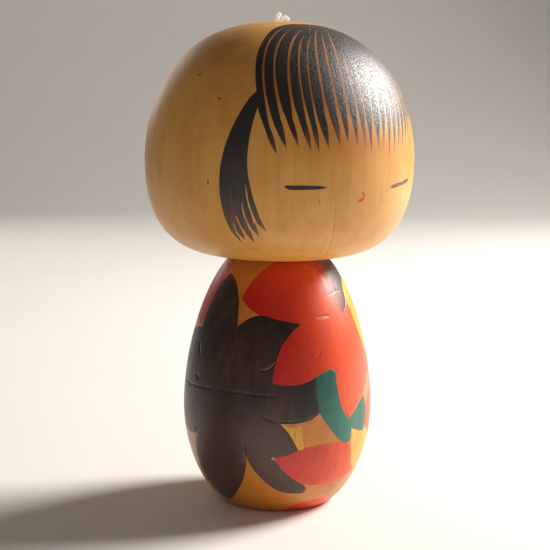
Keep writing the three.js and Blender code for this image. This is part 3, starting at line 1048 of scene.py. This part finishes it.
# Lines cut or scratched in the wood: width, depth, whether bare wood shows, and (angle, height) points.
SCRATCHES = [
    (0.2, 0.08, False, [(-112, 39.3), (-95, 39.4), (-75, 39.9), (-55, 39.8), (-35, 39.5)]),
    (0.17, 0.08, True, [(-46, 47.2), (-42, 47.3), (-38.6, 48.3), (-36.6, 49.8)]),
    (0.42, 0.26, False, [(-44, 33.4), (-39, 32.3), (-34.6, 31.4)]),
    (0.24, 0.14, False, [(-34, 31.9), (-28, 31.6), (-21.6, 31.8)]),
    (0.36, 0.22, False, [(-17.5, 31.9), (-14.5, 32.5), (-12, 33.3)]),
    (0.34, 0.2, False, [(-11, 43), (-11.3, 40.6), (-10.8, 38)]),
    (0.3, 0.16, True, [(0.2, 46.6), (2.4, 46.1), (4.4, 44.8)]),
    (0.3, 0.18, True, [(9.2, 32.5), (10.8, 31.4), (12.2, 30.8)]),
    (0.34, 0.12, True, [(-7, 61.6), (-1, 62.0), (5, 61.9)]),
    (0.09, 0.02, True, [(4, 67.6), (12, 67.9), (21, 68.6), (31, 68.2)]),
    (0.14, 0.05, True, [(36, 69.4), (33, 66.8), (28, 64), (21, 62.1)]),
    (0.36, 0.24, False, [(-97.5, 52.2), (-96, 50.5), (-94, 49)]),
    (0.4, 0.25, False, [(-94.5, 43), (-92.6, 42.3), (-91, 41.8)]),
    (0.4, 0.24, False, [(-94.5, 25), (-92.4, 25.6), (-90.4, 26.8)]),
    (0.44, 0.26, False, [(-111, 38.2), (-107, 39.5), (-103, 38.8), (-99, 39.2)]),
    (0.26, 0.16, False, [(-27, 27.5), (-24.6, 25), (-22.6, 23.2)]),
    (0.26, 0.16, False, [(-55.4, 25.6), (-54.3, 21.4), (-54.3, 17.6)]),
    (0.3, 0.18, False, [(-15.4, 10.6), (-13.9, 9.4), (-14.2, 8.2)]),
    (0.16, 0.06, False, [(-10.5, 50.4), (-8.4, 51), (-6.6, 52.1)]),
    (0.26, 0.14, False, [(13.4, 28), (15, 25.2), (16.2, 23)]),
    (0.3, 0.18, False, [(96, 33), (92, 36), (87, 38.6)]),
    (0.3, 0.18, False, [(146, 35), (151, 35.9), (157, 36.6)]),
]
NICK = (-37.2, 20.2, 0.6, 0.45)  # a chip at the low petal's tip


def paint_body():
    for material, patches in (("tan", TAN_PATCHES), ("red", RED_FLOWER), ("yellow", YELLOW_PATCHES),
                              ("dark", DARK_FLOWER), ("glaze", GLAZE), ("green", GREEN_LEAVES)):
        for runs in patches:
            body_paint.add(material, outline(on_body, *runs))
    body_paint.add("bare", spot(BODY, *NICK))
    for width, depth, bare, points in SCRATCHES:
        body_paint.cut(on_body(points), width, depth, "bare" if bare else None)


paint_body()
paint_head()

# ---- Pieces ----

BARE_WOOD = plain_wood("bare_wood", rgb(214, 176, 122), rgb(178, 132, 82), 0.72, 0.0, 0.16, (0.4, 0.08))
HEAD_MATERIALS = {
    "ground": head_wood("head_wood", 0.4),
    "parting": head_wood("parting_wood", 0.55, 0.85),
    "hair": hair_paint(),
    "eye": ink("eye_ink", rgb(34, 14, 20), rgb(74, 38, 42)),
    "dry_eye": ink("dry_eye_ink", rgb(66, 36, 40), rgb(156, 104, 78)),
    "mouth": ink("mouth_ink", rgb(218, 66, 4), rgb(240, 102, 18)),
    "fleck": ink("fleck", rgb(110, 58, 12), rgb(146, 88, 30)),
}
BODY_MATERIALS = {
    "ground": plain_wood("ochre_wood", rgb(222, 140, 41), rgb(182, 101, 27)),
    "tan": plain_wood("tan_wood", rgb(206, 104, 42), rgb(168, 78, 30)),
    "yellow": brushed_paint("yellow_paint", rgb(220, 152, 34), rgb(242, 190, 66), 0.3),
    "red": red_paint(),
    "dark": brushed_paint("dark_paint", rgb(33, 20, 15), rgb(82, 52, 41), 0.2, 0.34, 0.1),
    "glaze": dark_glaze(),
    "green": brushed_paint("green_paint", rgb(14, 90, 75), rgb(32, 118, 101), 0.2),
    "bare": plain_wood("bare_nick", rgb(214, 150, 84), rgb(182, 116, 58)),
}
CORD_HOLE_BOTTOM = CORD_LOW.z - CLEARANCE
HEAD_HOLE_TOP = DOWEL_HIGH.z + CLEARANCE
BODY_HOLE_BOTTOM = DOWEL_LOW.z - CLEARANCE

head = painted_turning("painted_head", head_paint,
                       [(CORD_HOLE_RADIUS, CORD_HOLE_BOTTOM), (0, CORD_HOLE_BOTTOM)],
                       [(HOLE_RADIUS, SEAM_HEAD), (HOLE_RADIUS, HEAD_HOLE_TOP), (0, HEAD_HOLE_TOP)],
                       HEAD_MATERIALS, BARE_WOOD, hair_strokes)
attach(head, "head")
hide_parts("head")

body = painted_turning("painted_body", body_paint,
                       [(HOLE_RADIUS, SEAM_BODY), (HOLE_RADIUS, BODY_HOLE_BOTTOM), (0, BODY_HOLE_BOTTOM)],
                       [(0, 0.0)], BODY_MATERIALS, BARE_WOOD)
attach(body, "body")
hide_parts("body")

DOWEL_CHAMFER = 1.0
DOWEL_SIDES = 96
LATHE_MARK = 0.03  # how deep the tool's fine turns are in the dowel
LATHE_TURNS = 40
MARKS_END = 0.1  # from the chamfers


def make_dowel():
    low, high = DOWEL_LOW.z, DOWEL_HIGH.z
    edge = DOWEL_RADIUS - DOWEL_CHAMFER
    turns = np.linspace(0, LATHE_TURNS, 4 * LATHE_TURNS + 1)
    marked = DOWEL_RADIUS - LATHE_MARK * (1 - np.cos(2 * math.pi * turns)) / 2
    heights = np.linspace(low + DOWEL_CHAMFER + MARKS_END, high - DOWEL_CHAMFER - MARKS_END, len(turns))
    profile = [(edge, low), (DOWEL_RADIUS, low + DOWEL_CHAMFER), *zip(marked, heights),
               (DOWEL_RADIUS, high - DOWEL_CHAMFER), (edge, high)]
    dowel = lathe("neck_peg", profile, DOWEL_SIDES, BARE_WOOD)
    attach(dowel, "head")
    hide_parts("neck_dowel")


make_dowel()

# ---- The cord ----

CORD_TURN = math.radians(-35.0)
STRAND_OFFSET = 0.42  # from the middle of the hole
PLY_OFFSET, PLY_RADIUS, PLY_PITCH = 0.23, 0.35, 1.9
FIBRE_RADIUS, FIBRE_POINTS, FIBRE_SIDES = 0.085, 9, 5


class Yarn:
    """Tubes swept along lines, gathered into one mesh."""

    def __init__(self):
        self.vertices, self.faces = [], []

    def tube(self, line, radii, sides=8):
        line = np.array(line, float)
        along = unit(np.gradient(line, axis=0))
        side = np.cross(along[0], (0.0, 1.0, 0.02))
        first = len(self.vertices)
        for point, tangent, radius in zip(line, along, radii):
            side = unit(side - tangent * (side @ tangent))
            other = np.cross(tangent, side)
            for i in range(sides):
                a = 2 * math.pi * i / sides
                self.vertices.append(point + radius * (math.cos(a) * side + math.sin(a) * other))
        for i in range(len(line) - 1):
            for j in range(sides):
                k = (j + 1) % sides
                low, high = first + i * sides, first + (i + 1) * sides
                self.faces.append((low + j, low + k, high + k, high + j))
        last = first + (len(line) - 1) * sides
        self.faces.append(tuple(range(first, first + sides))[::-1])
        self.faces.append(tuple(range(last, last + sides)))

    def strand(self, points, start_turn):
        """Two plies twisted round a smooth line."""
        line = smooth(points, 0.12)
        length = running_sum(np.linalg.norm(np.diff(line, axis=0), axis=1))
        along = unit(np.gradient(line, axis=0))
        across = np.stack([along[:, 2], 0 * length, -along[:, 0]], 1)
        turn = start_turn + length * 2 * math.pi / PLY_PITCH
        radii = np.full(len(line), PLY_RADIUS)
        radii[-1] = PLY_RADIUS * 0.6
        for half in (0.0, math.pi):
            a = (turn + half)[:, None]
            offset = np.cos(a) * across + np.sin(a) * np.array([0.0, 1.0, 0.0])
            self.tube(line + PLY_OFFSET * offset, radii)
        return line[-1], along[-1]

    def fibre(self, line, thick, thin, headroom):
        """A fine fibre that stays under the top of the cord's space."""
        line[:, 2] = np.minimum(line[:, 2], CORD_HIGH.z - FIBRE_RADIUS - headroom)
        self.tube(line, FIBRE_RADIUS * np.linspace(thick, thin, FIBRE_POINTS), FIBRE_SIDES)

    def tuft(self, centre, size, count, chance):
        """A woolly knob of short curled fibres."""
        for _ in range(count):
            out = unit(chance.normal(size=3))
            round_it = unit(np.cross(out, chance.normal(size=3)))
            bend = np.linspace(-0.9, 0.9, FIBRE_POINTS)[:, None]
            reach = size * chance.uniform(0.45, 1.0)
            self.fibre(centre + reach * (np.cos(bend) * out + np.sin(bend) * round_it), 1.5, 0.8, 0.05)

    def fray(self, end, heading, count, reach, chance):
        """Loose fibres that splay from a cut end and curl over."""
        for _ in range(count):
            away = unit(heading + 0.2 * chance.normal(size=3))
            curl = 0.5 * chance.normal(size=3) + np.array([0.0, 0.0, -0.35])
            start = end - heading * 0.25 + 0.16 * chance.normal(size=3)
            length = reach * chance.uniform(0.55, 1.0)
            t = shares(FIBRE_POINTS)
            self.fibre(start + length * (t * away + 0.5 * t * t * curl), 1.6, 0.6, 0.02)


def make_cord():
    chance = np.random.default_rng(SEED)
    root = CORD_LOW.z + 0.05
    yarn = Yarn()
    upright = [(-STRAND_OFFSET, 0, root), (-STRAND_OFFSET, 0, CROWN - 3), (-0.46, 0, CROWN - 0.4),
               (-0.95, 0, CROWN + 0.5), (-0.85, 0, CROWN + 1.15), (-0.6, 0, CROWN + 1.7),
               (-0.42, 0, CROWN + 2.15)]
    bent = [(STRAND_OFFSET, 0, root), (STRAND_OFFSET, 0, CROWN - 3), (0.42, 0, CROWN - 0.3),
            (0.55, 0, CROWN + 0.75), (1.2, 0, CROWN + 1.3), (1.9, 0, CROWN + 1.15), (2.3, 0, CROWN + 0.62)]
    end, heading = yarn.strand(upright, 0.4)
    yarn.tuft(end, 0.62, 80, chance)
    yarn.tuft(end + np.array([-0.6, 0.0, 0.1]), 0.3, 30, chance)
    yarn.fray(end - 0.2 * heading, np.array([-0.8, 0.0, 0.6]), 26, 1.05, chance)
    yarn.fray(np.array([-1.3, 0.0, CROWN + 0.3]), np.array([-1.0, 0.0, 0.25]), 8, 0.7, chance)
    end, _ = yarn.strand(bent, 1.3)
    yarn.tuft(end, 0.45, 50, chance)
    yarn.tuft(np.array([1.35, 0.0, CROWN + 1.35]), 0.55, 70, chance)
    turn = Matrix.Rotation(CORD_TURN, 3, "Z")
    cord = add_object("cord_yarn", [turn @ Vector(v) for v in yarn.vertices], yarn.faces, [cotton()])
    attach(cord, "head")
    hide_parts("crown_cord")


make_cord()

# ---- Stage ----

LIGHT_AIM = Vector((0, 0, 80))
# Each light's name, azimuth, elevation, distance, width, watts, colour, and whether gloss shows it.
LIGHTS = (("key", 80, 32, 900, 380, 16.5, (1.0, 0.97, 0.92), True),
          ("fill", -40, 25, 1100, 900, 0.95, (1.0, 0.86, 0.7), False),
          ("rim", -186, 17, 820, 360, 0.5, (1.0, 0.96, 0.9), True))


def area_light(name, azimuth, elevation, distance, width, watts, colour, glossy):
    data = bpy.data.lights.new(name, "AREA")
    data.shape = "DISK"
    data.size = width * MM
    data.energy = watts
    data.color = colour
    light = bpy.data.objects.new(name, data)
    bpy.context.scene.collection.objects.link(light)
    light.visible_glossy = glossy
    light.visible_camera = False
    place = LIGHT_AIM + direction(azimuth, elevation) * distance
    turn = (LIGHT_AIM - place).to_track_quat("-Z", "Y")
    light.matrix_world = Matrix.Translation(place * MM) @ turn.to_matrix().to_4x4()


BACKDROP_NEAR, BACKDROP_FAR = -1500.0, 900.0
BACKDROP_BEND, BACKDROP_TOP, BACKDROP_HALF = 500.0, 1600.0, 2200.0


def make_stage():
    """A sheet of pale paper that curves up behind the doll, and soft light from its left."""
    bend = [(BACKDROP_FAR + BACKDROP_BEND * math.sin(a), BACKDROP_BEND * (1 - math.cos(a)))
            for a in np.linspace(0.0, math.pi / 2, 25)]
    profile = [(BACKDROP_NEAR, 0.0), *bend, (BACKDROP_FAR + BACKDROP_BEND, BACKDROP_TOP)]
    away, side = -direction(CAMERA_AZIMUTH), direction(CAMERA_AZIMUTH + 90.0)
    vertices = [away * far + side * across + Vector((0, 0, up))
                for far, up in profile for across in (-BACKDROP_HALF, BACKDROP_HALF)]
    faces = [(2 * i, 2 * i + 1, 2 * i + 3, 2 * i + 2) for i in range(len(profile) - 1)]
    shader = Shader("backdrop_paper", roughness=0.8)
    cloud = shader.noise((0.01, 0.01, 0.01), detail=2.0)
    paper = shader.finish(shader.mix(cloud, rgb(238, 234, 229), rgb(243, 239, 234)))
    backdrop = add_object("backdrop", vertices, faces, [paper])
    world = bpy.data.worlds.new("studio")
    world.use_nodes = True
    sky = world.node_tree.nodes["Background"]
    sky.inputs["Color"].default_value = rgb(212, 204, 196)
    sky.inputs["Strength"].default_value = 0.14
    bpy.context.scene.world = world
    for light in LIGHTS:
        area_light(*light)
    bpy.context.scene.view_settings.view_transform = "Standard"


make_stage()
